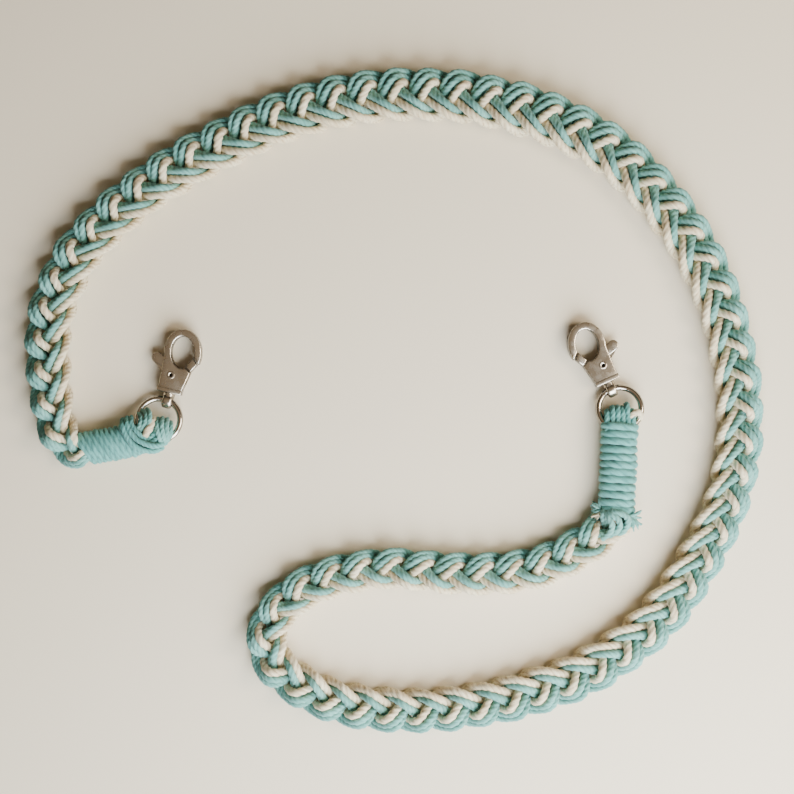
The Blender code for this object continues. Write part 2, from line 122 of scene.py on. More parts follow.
def colour_ramp(tree, factor, stops):
    """A ramp from one colour to the next: stops are (place, colour)."""
    ramp = add_node(tree, "ValToRGB", Fac=factor)
    while len(ramp.color_ramp.elements) < len(stops):
        ramp.color_ramp.elements.new(1.0)
    for element, (place, colour) in zip(ramp.color_ramp.elements, stops):
        element.position, element.color = place, (*colour, 1)
    return ramp.outputs["Color"]


print("helpers ready")

# %% [markdown]
# ## The cotton
# The cords are soft cotton, three plies twisted together. The twist is modelled, so the material only
# adds what is finer: fibres that run along each ply, a painted shade down in the grooves that noise
# breaks into patches, and a slow change of tone from one stretch of cord to the next, as hand-dyed
# cord has. The piece's own UV map drives it. U counts millimetres along the cord and V goes once round
# it, so a fibre is a noise that is stretched along U.


# %% Cotton materials
def cotton(name, light, crease_shade, patch):
    """Matt twisted cotton: its light colour, the painted shade in its grooves and the colour of its darker
    patches.
    """
    made, shader = new_material(name, 0.95, Sheen_Weight=0.25, Sheen_Roughness=0.5, Specular_IOR_Level=0.12)
    tree = made.node_tree
    uv = add_node(tree, "UVMap", {"uv_map": "UVMap"}).outputs["UV"]
    stretched = add_node(tree, "Mapping", Vector=uv, Scale=(0.5, 22.0, 1.0)).outputs["Vector"]
    noise = add_node(tree, "TexNoise", Vector=stretched, Scale=1.0, Detail=5.0, Roughness=0.65)
    fibres = noise.outputs["Fac"]
    # Painted shade in the grooves: a mask that is full down between the plies, broken into patches by noise
    round_cord = add_node(tree, "SeparateXYZ", Vector=uv).outputs["Y"]
    plies = add_node(tree, "Math", {"operation": "MULTIPLY"}, i0=round_cord, i1=3.0).outputs[0]
    ply_shade_mask = add_node(tree, "Math", {"operation": "PINGPONG"}, i0=plies, i1=0.5).outputs[0]
    ply_shade_mask = add_node(tree, "MapRange", Value=ply_shade_mask, From_Min=0.2, From_Max=0.5).outputs["Result"]
    place = add_node(tree, "TexCoord").outputs["Object"]
    slow = add_node(tree, "TexNoise", Vector=place, Scale=130.0, Detail=3.0).outputs["Fac"]
    tone = colour_ramp(tree, slow, [(0.36, patch), (0.64, light)])
    broken = add_node(tree, "TexNoise", Vector=place, Scale=420.0, Detail=2.0).outputs["Fac"]
    broken = add_node(tree, "MapRange", Value=broken, From_Min=0.35, From_Max=0.6).outputs["Result"]
    ply_shade_mask = add_node(tree, "Math", {"operation": "MULTIPLY"}, i0=ply_shade_mask, i1=broken).outputs[0]
    # Painted shade: the tone darkens to the grooves' shade colour where the mask is full
    shade = add_node(tree, "MixRGB", Fac=ply_shade_mask, Color1=tone, Color2=(*crease_shade, 1)).outputs[0]
    fibre_tone = colour_ramp(tree, fibres, [(0.3, (0.66, 0.69, 0.69)), (0.7, (1.22, 1.19, 1.19))])
    final = add_node(tree, "MixRGB", {"blend_type": "MULTIPLY"}, Fac=1.0, Color1=shade, Color2=fibre_tone)
    tree.links.new(final.outputs[0], shader.inputs["Base Color"])
    bump = add_node(tree, "Bump", Height=fibres, Strength=0.5, Distance=0.0003).outputs["Normal"]
    tree.links.new(bump, shader.inputs["Normal"])
    return made


# The second colour of each cotton is the painted shade in its grooves
teal_cotton = cotton("teal_cotton", (0.225, 0.50, 0.445), (0.11, 0.28, 0.25), (0.16, 0.395, 0.345))
cream_cotton = cotton("cream_cotton", (0.87, 0.765, 0.54), (0.55, 0.41, 0.25), (0.77, 0.64, 0.42))
bound_cotton = cotton("bound_cotton", (0.165, 0.455, 0.42), (0.07, 0.22, 0.205), (0.115, 0.35, 0.32))
print("cottons", teal_cotton.name, cream_cotton.name, bound_cotton.name)

# %% [markdown]
# ## The metal
# Small hooks like these are cast in zinc, polished and plated with nickel. The plating is bright but
# never quite even: handling leaves it a little duller in patches and finely scratched. Both come from
# noise in the roughness. The steep sides are painted dark, a painted reflection of dark surroundings,
# which gives the rims their dark lines. Each metal piece carries an attribute that says how steep it
# stands at each corner, and this painted reflection follows it.


# %% Metal materials
def plated(name, colour, roughness, spread):
    """Plated metal: its tint and how far its roughness wanders."""
    made, shader = new_material(name, roughness, metallic=1.0)
    tree = made.node_tree
    place = add_node(tree, "TexCoord").outputs["Object"]
    clouds = add_node(tree, "TexNoise", Vector=place, Scale=420.0, Detail=5.0).outputs["Fac"]
    drawn = add_node(tree, "Mapping", Vector=place, Scale=(900.0, 5200.0, 900.0)).outputs["Vector"]
    scratches = add_node(tree, "TexNoise", Vector=drawn, Scale=1.0, Detail=2.0).outputs["Fac"]
    tint = colour_ramp(tree, clouds, [(0.3, tuple(0.82 * c for c in colour)), (0.65, colour)])
    # Painted reflection: the steep sides are painted dark, as if they mirrored dark surroundings
    side = add_node(tree, "Attribute", {"attribute_name": "side"}).outputs["Fac"]
    painted_dark_reflection = tuple(0.13 * c for c in colour)
    shade = add_node(tree, "MixRGB", Fac=side, Color1=tint, Color2=(*painted_dark_reflection, 1)).outputs[0]
    tree.links.new(shade, shader.inputs["Base Color"])
    dull = roughness + spread
    wear = add_node(tree, "MapRange", Value=clouds, From_Min=0.3, From_Max=0.7, To_Min=dull, To_Max=roughness)
    tree.links.new(wear.outputs["Result"], shader.inputs["Roughness"])
    bump = add_node(tree, "Bump", Height=scratches, Strength=0.12, Distance=0.00004).outputs["Normal"]
    tree.links.new(bump, shader.inputs["Normal"])
    return made


hook_metal = plated("hook_metal", (0.82, 0.72, 0.59), 0.20, 0.12)
lever_metal = plated("lever_metal", (0.80, 0.71, 0.59), 0.18, 0.12)
ring_metal = plated("ring_metal", (0.80, 0.72, 0.63), 0.12, 0.10)
print("metals", hook_metal.name, lever_metal.name, ring_metal.name)

# %% [markdown]
# ## The strap's line
# Everything soft follows one line: the middle of the braid, from the right binding round to the left
# one. A few listed points give its shape, and a smooth curve joins them. Each also holds the share of
# the braid's width there, because the braid is pulled narrow near its ends and spreads along its
# middle.

# %% Sizes of the strap
CENTRE = np.array((-0.898, 0.431)) * MM  # moves the route so that the origin is under the strap's middle
BRAID_WIDTH = 17.7 * MM
BRAID_CYCLE = 35.4 * MM
BRAID_MIDDLE = 5.4 * MM
ROUTE = [
    (85.3, -46.0, 0.84), (82.0, -50.2, 0.87), (76.2, -54.9, 0.91), (67.5, -60.4, 0.92),
    (55.5, -65.0, 0.92), (40.0, -67.2, 0.91), (23.1, -67.3, 0.90), (5.0, -65.4, 0.89),
    (-13.0, -66.4, 0.89), (-28.5, -70.8, 0.89), (-41.0, -78.6, 0.88), (-47.5, -88.5, 0.87),
    (-47.0, -98.8, 0.88), (-38.5, -107.8, 0.92), (-22.5, -115.8, 0.94), (0.0, -119.4, 0.95),
    (24.0, -118.7, 0.97), (49.2, -113.8, 1.00), (76.5, -103.8, 1.02), (101.0, -85.6, 1.02),
    (118.5, -60.8, 1.00), (129.6, -35.8, 1.00), (133.6, -6.2, 1.00), (130.8, 18.1, 1.00),
    (123.5, 43.1, 1.04), (106.2, 72.7, 1.08), (80.0, 97.7, 1.13), (44.6, 112.7, 1.16),
    (6.9, 116.9, 1.17), (-31.5, 111.5, 1.15), (-67.7, 96.5, 1.10), (-100.0, 76.2, 1.06),
    (-123.1, 51.9, 1.02), (-131.3, 30.4, 1.00), (-131.9, 11.0, 0.96), (-130.4, -2.5, 0.90),
    (-128.2, -11.8, 0.84), (-125.6, -17.0, 0.79), (-122.3, -19.4, 0.77),
]
WRAP_ENDS = {"right": ((86.3, -42.7), (87.4, -14.2)), "left": ((-118.2, -19.2), (-100.6, -16.0))}


def smooth_curve(points, spacing):
    """Evenly spaced points on a smooth curve through the given ones, and their distances along it."""
    given = np.array(points, float)
    chord = np.r_[0, np.cumsum(np.linalg.norm(np.diff(given[:, :2], axis=0), axis=1))]
    slope = np.gradient(given, chord, axis=0)
    fine = []
    for i in range(len(given) - 1):
        span, t = chord[i + 1] - chord[i], np.linspace(0, 1, 40, endpoint=False)[:, None]
        fine.append(
            (2 * t**3 - 3 * t**2 + 1) * given[i] + (t**3 - 2 * t**2 + t) * span * slope[i]
            + (3 * t**2 - 2 * t**3) * given[i + 1] + (t**3 - t**2) * span * slope[i + 1]
        )
    fine = np.vstack([*fine, given[-1:]])
    along = np.r_[0, np.cumsum(np.linalg.norm(np.diff(fine[:, :2], axis=0), axis=1))]
    even = np.linspace(0, along[-1], max(2, round(along[-1] / spacing) + 1))
    return even, np.stack([np.interp(even, along, fine[:, c]) for c in range(fine.shape[1])], axis=1)


def wrap_axis(side):
    """A binding's axis: where it starts at the braid, its direction away from the braid, and its length."""
    start, end = (np.array(point) * MM + CENTRE for point in WRAP_ENDS[side])
    return start, (end - start) / np.linalg.norm(end - start), np.linalg.norm(end - start)


(first, first_way, _), (last, last_way, _) = wrap_axis("right"), wrap_axis("left")
inside = 7 * MM  # how far the strands run on inside the bindings
points = [(*(first + first_way * inside), 0.5), (*(first + first_way * inside / 2), 0.52), (*first, 0.64)]
points += [(x * MM + CENTRE[0], y * MM + CENTRE[1], share) for x, y, share in ROUTE]
points += [(*last, 0.62), (*(last + last_way * inside / 2), 0.52), (*(last + last_way * inside), 0.5)]
route_s, route = smooth_curve(points, 0.5 * MM)
route_s = route_s - inside - 0.6 * MM
route_heading = np.unwrap(np.arctan2(np.gradient(route[:, 1]), np.gradient(route[:, 0])))
print("braid", round((route_s[-1] - inside) * 1000), "mm long")

# %% [markdown]
# ## A twisted cord
# A curve object can carry a cross-section along its line, and each of its points has a tilt. With a
# section of three lobes and a tilt that grows steadily, the sweep becomes three plies laid round each
# other, which is how real cord is made. The swept curve is then turned into a mesh, and its UV map is
# scaled to millimetres.


# %% Cord maker
def lobed_section(radius, plies, depth, sides=12):
    """A closed outline with one lobe for each ply, as a curve to sweep."""
    data = bpy.data.curves.new("section", "CURVE")
    data.dimensions = "2D"
    spline = data.splines.new("POLY")
    spline.points.add(sides - 1)
    for i, point in enumerate(spline.points):
        turn = 2 * math.pi * i / sides
        reach = radius * (1 - depth + depth * math.cos(plies * turn))
        point.co = (reach * math.cos(turn), reach * math.sin(turn), 0, 1)
    spline.use_cyclic_u = True
    section = bpy.data.objects.new("section", data)
    bpy.context.scene.collection.objects.link(section)
    return section


def twisted_cord(name, line, radius, material, pitch=None, plies=3, depth=0.09, sizes=None, start=0.0):
    """A twisted cord along a line of points."""
    line = np.asarray(line, float)
    pitch = pitch or 4.8 * radius
    gone = np.r_[0, np.cumsum(np.linalg.norm(np.diff(line, axis=0), axis=1))]
    data = bpy.data.curves.new(name, "CURVE")
    data.dimensions, data.twist_mode, data.use_fill_caps = "3D", "MINIMUM", True
    spline = data.splines.new("POLY")
    spline.points.add(len(line) - 1)
    spline.points.foreach_set("co", np.c_[line, np.ones(len(line))].ravel())
    spline.points.foreach_set("tilt", start + gone / pitch * 2 * math.pi)
    spline.points.foreach_set("radius", np.ones(len(line)) if sizes is None else np.asarray(sizes, float))
    section = lobed_section(radius, plies, depth)
    data.bevel_mode, data.bevel_object = "OBJECT", section
    swept = bpy.data.objects.new(name, data)
    bpy.context.scene.collection.objects.link(swept)
    graph = bpy.context.evaluated_depsgraph_get()
    mesh = bpy.data.meshes.new_from_object(swept.evaluated_get(graph))
    mesh.name = name
    for helper in (swept, section):
        bpy.data.objects.remove(helper)
    uv = mesh.uv_layers[0]
    uv.name = "UVMap"
    flat = np.zeros(len(mesh.loops) * 2)
    uv.data.foreach_get("uv", flat)
    flat = flat.reshape(-1, 2)
    flat[:, 0] *= gone[-1] * 1000
    uv.data.foreach_set("uv", flat.ravel())
    mesh.shade_smooth()
    mesh.materials.clear()
    mesh.materials.append(material)
    obj = bpy.data.objects.new(name, mesh)
    bpy.context.scene.collection.objects.link(obj)
    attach(obj, "strap")
    return obj


print("cord maker ready")

# %% [markdown]
# ## The braid
# Three bundles of five cords each take turns to pass from the edge to the middle over the others. A
# bundle's middle swings from side to side once in a cycle and rises and falls twice. The bundle isn't
# twisted, so its teal cords always stay on the outer side and its cream ones on the inner side, and
# together they draw the two-coloured arrowheads. On the outer arm the cords lie side by side as a broad
# band; on the inner arm the pull of the braid stacks them, and only one thick teal and one thick cream
# cord show. Sliding each point along the strap by a share of its distance from the middle makes the
# outer arms steep and the inner ones slanting.

# %% Braid
SWING_EDGE = 5.9 * MM  # how far a bundle's middle stays inside the braid's edges, both together
RING_STEP = 0.66 * MM
SLANT = 0.25
BANK, RISE = 0.40, 3.75 * MM  # how far a bundle leans over as it crosses, and how far it rises and falls
WANDER = 0.09 * MM  # how far a cord strays from its place
FADE = 14 * MM  # the slant fades out over this stretch at both ends
# Each cord: its colour, its radius, and its place across and above the bundle's middle, on the outer arm and
# on the inner arm, in millimetres
CORDS = [
    ("cream", 1.66, (-2.70, 0.30), (-1.85, 0.50)),
    ("teal", 1.46, (0.35, 0.45), (1.60, 0.55)),
    ("teal", 1.34, (3.05, 0.05), (1.05, -1.40)),
    ("teal", 1.22, (1.70, -1.10), (-0.70, -1.55)),
    ("cream", 1.15, (-1.20, -1.25), (-2.60, -1.10)),
]


def strap_place(s, u, z):
    """Points in space for places on the strap: along it, outward from its middle line, and height."""
    x, y = np.interp(s, route_s, route[:, 0]), np.interp(s, route_s, route[:, 1])
    heading = np.interp(s, route_s, route_heading)
    return np.c_[x + u * np.sin(heading), y - u * np.cos(heading), z]


def bundle_cord(strand, number, rng):
    """The line of one cord of a bundle."""
    _, radius, on_outer, on_inner = CORDS[number]
    s = np.arange(route_s[0] + 1.5 * MM, route_s[-1] - 1.5 * MM, RING_STEP * 0.75)
    share = np.interp(s, route_s, route[:, 2])
    phase = 2 * np.pi * (s / BRAID_CYCLE + strand / 3)
    swing = (BRAID_WIDTH - SWING_EDGE) * share / 2
    outer = 0.5 + 0.5 * np.sin(phase)
    outer = outer**2 * (3 - 2 * outer)
    wander = sum(np.sin(s / (w * MM) + rng.uniform(0, 6.3)) for w in (6.0, 11.0, 19.0)) * WANDER
    spread = (0.62 + 0.38 * np.abs(np.cos(phase))) * share * MM
    sideways = (on_outer[0] * outer + on_inner[0] * (1 - outer)) * spread + wander
    upward = (on_outer[1] * outer + on_inner[1] * (1 - outer)) * np.minimum(1, share / 0.85) * MM
    bank = BANK * np.cos(phase)
    slope = np.arctan(2 * np.pi * swing / BRAID_CYCLE * np.cos(phase))
    offset = sideways * np.cos(bank) - upward * np.sin(bank)
    height = sideways * np.sin(bank) + upward * np.cos(bank)
    u = swing * np.sin(phase) + offset * np.cos(slope)
    back = -offset * np.sin(slope)
    rise = -RISE * np.sin(2 * phase) * np.minimum(1, share / 0.8) + height
    fade = np.clip((s - route_s[0]) / FADE, 0, 1) * np.clip((route_s[-1] - s) / FADE, 0, 1)
    # The table stops whatever would hang lower
    z = np.maximum(BRAID_MIDDLE + rise, (radius + 0.1) * MM)
    # Inside the bindings the cords are pressed thin
    return np.c_[strap_place(s + back + SLANT * u * fade, u, z), np.clip(share / 0.76, 0.6, 1)]


def even_line(line, spacing):
    """The same line with evenly spaced points."""
    gone = np.r_[0, np.cumsum(np.linalg.norm(np.diff(line[:, :3], axis=0), axis=1))]
    at = np.linspace(0, gone[-1], max(2, round(gone[-1] / spacing)))
    return np.stack([np.interp(at, gone, line[:, c]) for c in range(line.shape[1])], axis=1), gone[-1]


def soft_sizes(count, spacing, rng, amount=0.04):
    """Hand-made cord swells and thins a little: one size for each point."""
    at = np.arange(count) * spacing / MM
    return 1 + amount * sum(np.sin(at / w + rng.uniform(0, 6.3)) for w in (1.3, 2.9, 6.1)) / 1.5


for strand in range(3):
    rng = random.Random(40 + strand)
    made, lengths = [], []
    for number, (colour, radius, _, _) in enumerate(CORDS):
        line, length = even_line(bundle_cord(strand, number, rng), RING_STEP)
        name = f"strand_{strand + 1}_{colour}_cord_{number + 1}"
        cloth = cream_cotton if colour == "cream" else teal_cotton
        sizes, start = soft_sizes(len(line), RING_STEP, rng) * line[:, 3], rng.uniform(0, 6)
        made.append(twisted_cord(name, line[:, :3], radius * MM, cloth, sizes=sizes, start=start))
        lengths.append(round(length / MM))
    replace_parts(made[0], f"braid_strand_{strand + 1}")
    print("strand", strand + 1, "has cords of", lengths, "mm")

# %% [markdown]
# ## The bindings
# One long cord is wound round each end. Its line is a helix round the oval bundle, a cord's width
# further along with each turn. The turns are laid by hand, so each one leans and swells a little
# differently.

# %% Bindings
BIND_STEP = 0.7 * MM
# In millimetres: where the winding starts and ends along the axis, how far it goes on in one turn, half its
# width and half its height, and the cord's radius. The lean is how far a turn slants for its width
BINDINGS = {
    "right": {
        "from": -0.5, "to": 34.6, "pitch": 2.9, "wide": 7.45, "tall": 5.6, "radius": 1.62, "lean": 0.12,
    },
    "left": {
        "from": -0.2, "to": 19.2, "pitch": 1.95, "wide": 6.8, "tall": 5.2, "radius": 1.18, "lean": -0.42,
    },
}


def binding_line(side, rng):
    """The helix of a binding cord, in space."""
    size = BINDINGS[side]
    start, way, _ = wrap_axis(side)
    across = np.array((-way[1], way[0]))
    turns = (size["to"] - size["from"]) / size["pitch"]
    t = np.linspace(0, turns, round(turns * 90))
    angle = 2 * np.pi * t
    wobble = sum(np.sin(t * w + rng.uniform(0, 6.3)) for w in (1.3, 2.9, 5.3, 9.7)) / 3
    half = size["wide"] - size["radius"] + 0.2 * wobble
    tall = size["tall"] - size["radius"] + 0.12 * wobble
    ends = np.clip(np.minimum(t, turns - t) * 1.6, 0, 1)
    half, tall = half * (0.80 + 0.20 * ends), tall * (0.86 + 0.14 * ends)
    side_way, up = half * np.cos(angle), tall * np.sin(angle)
    along = size["from"] + t * size["pitch"] + size["lean"] * side_way + 0.24 * wobble
    flat = start + (along[:, None] * way + side_way[:, None] * across) * MM
    return np.c_[flat, (size["tall"] + up) * MM]


for side in ("right", "left"):
    rng = random.Random(7)
    radius = BINDINGS[side]["radius"] * MM
    line, length = even_line(binding_line(side, rng), BIND_STEP)
    sizes = soft_sizes(len(line), BIND_STEP, rng, 0.06)
    binding = twisted_cord(
        f"binding_cord_{side}", line, radius, bound_cotton, pitch=9 * radius, depth=0.06, sizes=sizes
    )
    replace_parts(binding, f"wrap_{side}")
    print("binding", side, "takes", round(length / MM), "mm of cord")

# %% [markdown]
# ## The folded ends
# Beyond the binding, the cords go through the ring and fold back over its wire. Each is a loop in an
# upright plane: up out of the binding, over the wire and down again underneath. They lie side by side,
# so the fold looks like a row of short upright cords. An inner row, a little smaller, fills what shows
# between them.

# %% Folded ends
PATH_STEP = 0.2  # millimetres from one point of a fold's path to the next
LOOP_ROUTES = {
    "right": ((87.4, -9.6), (87.4, -5.4), (87.5, -1.6)),
    "left": ((-95.8, -15.0), (-91.8, -12.7), (-89.9, -8.2)),
}
# In millimetres, after the number of cords: half the row's width, half the loops' height, the cord's
# radius, the height of their middle, and how far they stop short of the route's end
FOLDS = {
    "right": {"cords": 6, "half": 5.2, "tall": 2.75, "radius": 1.22, "mid": 5.6, "short": 1.5},
    "left": {"cords": 6, "half": 5.0, "tall": 2.3, "radius": 1.15, "mid": 4.9, "short": 0.6},
}


def fold_line(side, place, shrink, back):
    """One cord that folds over the ring: its place is from -1 to 1 across the bundle."""
    size = FOLDS[side]
    end, (_, way, _) = np.array(WRAP_ENDS[side][1]) * MM + CENTRE, wrap_axis(side)
    points = [end - way * 3 * MM, end + way * MM, *(np.array(p) * MM + CENTRE for p in LOOP_ROUTES[side])]
    _, path = smooth_curve(points, PATH_STEP * MM)
    heading = np.gradient(path, axis=0)
    heading /= np.linalg.norm(heading, axis=1)[:, None]
    across = np.c_[-heading[:, 1], heading[:, 0]]
    tip = len(path) - 1 - round(back / PATH_STEP)
    turn = np.linspace(0, np.pi, 40)
    bend = size["tall"] * shrink
    # Along the top, round the tip as half an oval, and back along the bottom
    straight = np.arange(0, max(tip - round(bend * 0.9 / PATH_STEP), 2), 3)
    index = np.r_[straight, straight[-1] + (tip - straight[-1]) * np.sin(turn), straight[::-1]]
    rise = np.r_[np.full(len(straight), bend), bend * np.cos(turn), np.full(len(straight), -bend)]
    narrow = 1 - 0.16 * (index / len(path)) ** 2
    x, y = (np.interp(index, np.arange(len(path)), path[:, c]) for c in (0, 1))
    ax, ay = (np.interp(index, np.arange(len(path)), across[:, c]) for c in (0, 1))
    shift = place * size["half"] * narrow * MM
    lift = 1 - 0.25 * abs(place) ** 3
    return np.c_[x + ax * shift, y + ay * shift, (size["mid"] + rise * lift) * MM]


for side in ("right", "left"):
    size = FOLDS[side]
    rng = random.Random(3)
    made, lengths = [], []
    for row, (shrink, inner) in enumerate(((1.0, 0.0), (0.62, 2.0))):
        for i in range(size["cords"] - row):
            place = -1 + 2 * (i + row / 2) / (size["cords"] - 1)
            # One cord of the right fold stands out further than its neighbours
            proud = 1.4 if side == "right" and i == 1 else 0
            back = inner + size["short"] + rng.uniform(0, 0.5) + 1.2 * place**4 - proud
            line, length = even_line(fold_line(side, place, shrink, back), BIND_STEP)
            name, start = f"folded_cord_{side}_{row + 1}_{i + 1}", rng.uniform(0, 6)
            made.append(twisted_cord(name, line, size["radius"] * MM, bound_cotton, start=start))
            lengths.append(round(length / MM))
    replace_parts(made[0], f"cord_loop_{side}")
    print("fold", side, "has cords of", lengths, "mm")

# %% [markdown]
# ## Cords laid by hand
# At each end some cords don't follow the rule. Over the left ring, short cords curl round the wire, one
# of them cream, and the last turns of the binding sweep out below them. Under the right binding, three
# cords loop out of the braid and a cut end frays. Each is drawn by a few chosen points: across, up and
# above the table.

# %% Hand-laid cords
HAND_STEP = 0.55 * MM
# Each cord: its name, its colour, its radius and its points, in millimetres
HAND_CORDS = [
    ("curl_left_1", "teal", 1.05, [
        (-98.2, -5.2, 4.5), (-97.1, -6.0, 7.6), (-96.8, -7.6, 9.0), (-97.3, -9.9, 9.3),
        (-98.6, -11.3, 8.4),
    ]),
    ("curl_left_2", "teal", 1.10, [
        (-96.9, -4.1, 4.5), (-95.3, -5.2, 7.8), (-94.9, -7.0, 9.3), (-95.5, -9.2, 9.6),
        (-97.2, -11.4, 8.6),
    ]),
    ("curl_left_3", "teal", 1.10, [
        (-95.2, -3.6, 4.5), (-93.8, -4.8, 7.8), (-93.4, -6.8, 9.3), (-93.8, -8.8, 9.4),
        (-95.6, -10.9, 8.2),
    ]),
    ("curl_left_cream", "cream", 1.70, [
        (-92.4, -7.0, 4.8), (-92.9, -8.6, 8.0), (-93.6, -10.6, 9.3), (-94.8, -12.6, 9.5),
        (-96.1, -14.6, 7.6),
    ]),
    ("curl_left_4", "teal", 1.10, [
        (-91.1, -7.2, 4.3), (-90.9, -8.6, 7.6), (-90.7, -10.7, 9.0), (-90.1, -13.2, 9.1),
        (-89.6, -16.0, 6.6),
    ]),
    ("curl_left_5", "teal", 1.10, [
        (-89.3, -7.0, 4.3), (-89.1, -8.4, 7.6), (-88.9, -10.7, 9.0), (-88.4, -13.4, 8.8),
        (-88.2, -16.0, 6.0),
    ]),
    ("curl_left_6", "teal", 1.10, [
        (-87.5, -7.4, 4.0), (-87.3, -8.7, 7.0), (-87.1, -10.9, 8.4), (-86.9, -13.3, 8.0),
        (-87.4, -15.6, 5.4),
    ]),
    ("curl_left_7", "teal", 1.00, [
        (-86.1, -8.6, 3.6), (-85.8, -9.8, 6.0), (-85.6, -11.4, 7.0), (-85.9, -13.4, 6.6),
        (-86.8, -15.2, 4.4),
    ]),
    ("sweep_left_1", "bound", 1.15, [
        (-102.6, -6.9, 6.0), (-102.3, -8.6, 9.2), (-101.3, -11.2, 10.2), (-98.9, -14.3, 10.4),
        (-94.5, -16.8, 10.0), (-90.2, -17.4, 8.0), (-87.9, -16.4, 5.0),
    ]),
    ("sweep_left_2", "bound", 1.15, [
        (-104.3, -7.5, 6.0), (-103.9, -9.2, 9.2), (-102.7, -12.6, 10.2), (-100.2, -16.4, 10.0),
        (-95.8, -19.2, 8.2), (-91.6, -19.5, 6.0), (-89.2, -18.2, 3.6),
    ]),
    ("sweep_left_3", "bound", 1.05, [
        (-101.0, -6.5, 6.0), (-100.7, -8.0, 8.8), (-99.7, -10.2, 9.8), (-97.6, -12.7, 10.1),
        (-95.0, -14.9, 8.8),
    ]),
    ("curl_right_cream", "cream", 1.35, [
        (90.4, -6.6, 8.2), (91.6, -4.9, 8.8), (93.2, -4.6, 8.6), (94.4, -5.8, 6.8), (94.6, -8.0, 4.4),
    ]),
    ("loop_right_1", "teal", 1.35, [
        (83.0, -40.9, 7.4), (83.4, -42.6, 10.2), (86.3, -43.1, 11.3), (88.9, -45.0, 11.2),
        (88.6, -48.3, 10.4), (86.0, -51.2, 9.6), (83.0, -53.2, 7.6),
    ]),
    ("loop_right_2", "teal", 1.35, [
        (81.8, -41.2, 7.0), (82.7, -43.4, 10.6), (85.0, -45.2, 11.5), (85.9, -47.6, 11.2),
        (84.4, -50.4, 10.2), (82.0, -52.6, 8.0),
    ]),
    ("loop_right_3", "teal", 1.35, [
        (80.6, -41.8, 7.0), (81.4, -44.2, 10.2), (82.6, -46.5, 11.2), (82.9, -48.9, 10.9),
        (81.4, -51.4, 9.6), (79.8, -53.0, 7.6),
    ]),
]
CLOTHS = {"teal": teal_cotton, "cream": cream_cotton, "bound": bound_cotton}
rng = random.Random(11)
for name, colour, radius, points in HAND_CORDS:
    _, line = smooth_curve(np.array(points) * MM, 0.2 * MM)
    line, length = even_line(line, HAND_STEP)
    t = np.linspace(0, 1, len(line))
    # The cream ones are drawn thin towards the places where they go under
    taper = 0.62 + 0.38 * np.sin(np.pi * t) ** 0.5 if colour == "cream" else 1.0
    sizes = soft_sizes(len(line), HAND_STEP, rng) * taper
    twisted_cord(name, line, radius * MM, CLOTHS[colour], sizes=sizes)
    print(name, "is", round(length / MM), "mm long")

# %% [markdown]
# ## Frayed ends
# A cut end opens into its yarns. The same cord maker draws them: thin cords of two plies that fan out
# from one point, curl a little, droop and grow thin towards their tips. Chance sets each one, from a
# fixed seed, so that the tuft comes out the same each time.

# %% Frayed ends
# Each tuft: its name, its colour, its root, the first and the last direction in degrees, how far it reaches,
# how many yarns it has and their radius. Lengths are in millimetres
FRAYS = [
    ("right", "teal", (89.2, -44.3, 8.8), (4, -62), 6.2, 16, 0.8),
    ("inner", "teal", (79.6, -41.6, 6.0), (112, 220), 4.2, 12, 0.46),
    ("inner_cream", "cream", (79.6, -43.4, 6.4), (165, 236), 4.2, 8, 0.46),
]
t = np.linspace(0, 1, 12)
for place, colour, root, (first_way, last_way), reach, count, yarn in FRAYS:
    for i in range(count):
        way = math.radians(first_way + (last_way - first_way) * (i + rng.uniform(-0.3, 0.3)) / (count - 1))
        curl, long = rng.uniform(-0.5, 0.5), reach * rng.uniform(0.75, 1.1)
        x = root[0] + long * t * np.cos(way + curl * t)
        y = root[1] + long * t * np.sin(way + curl * t)
        z = root[2] + rng.uniform(-1.6, 2.2) * t - 1.2 * t**2
        fringe = np.c_[x, y, np.maximum(z, 0.6)] * MM
        thick, start = yarn * rng.uniform(0.8, 1.15) * MM, rng.uniform(0, 6)
        twisted_cord(
            f"fray_{place}_{i + 1}", fringe, thick, CLOTHS[colour],
            plies=2, depth=0.12, sizes=1 - 0.6 * t**3, start=start,
        )
print("frayed ends", len(FRAYS))

# %% [markdown]
# ## The rings
# A ring is a circle of wire turned once round an axis. The spin operator does this: it takes the wire's
# round section and carries it through a full turn, and merges the last section with the first.

# %% Rings
# A face that stands steep takes the painted dark reflection of a side
SIDE_FROM, SIDE_OVER = 0.22, 0.5  # where a face starts to count as a side, and how soon it is fully one
RING_OUTER, RING_WIRE = 18.7 * MM, 2.3 * MM
EYE_LENGTH, EYE_HOLE_LENGTH = 5.8 * MM, 3.6 * MM
GAP, RING_PLAY = 0.3 * MM, 0.35 * MM
HOOK_AXIS_HEIGHT = 2.95 * MM
# In millimetres and degrees. A gate of 1 shuts the bow on its right, and one of -1 is the mirror image of that
HOOKS = {
    "left": {"base": (-85.9, 2.4), "turn": -13.2, "gate": 1, "ring_off": -1.5, "cords": 5.208},
    "right": {"base": (83.2, 6.5), "turn": 24.0, "gate": -1, "ring_off": 0.0, "cords": 5.6},
}


def hook_matrix(side):
    """The hook's own frame: +Y runs from the swivel to the bow."""
    hook = HOOKS[side]
    x, y = np.array(hook["base"]) * MM + CENTRE
    turned = Matrix.Rotation(math.radians(hook["turn"]), 4, "Z")
    return Matrix.Translation((x, y, HOOK_AXIS_HEIGHT)) @ turned


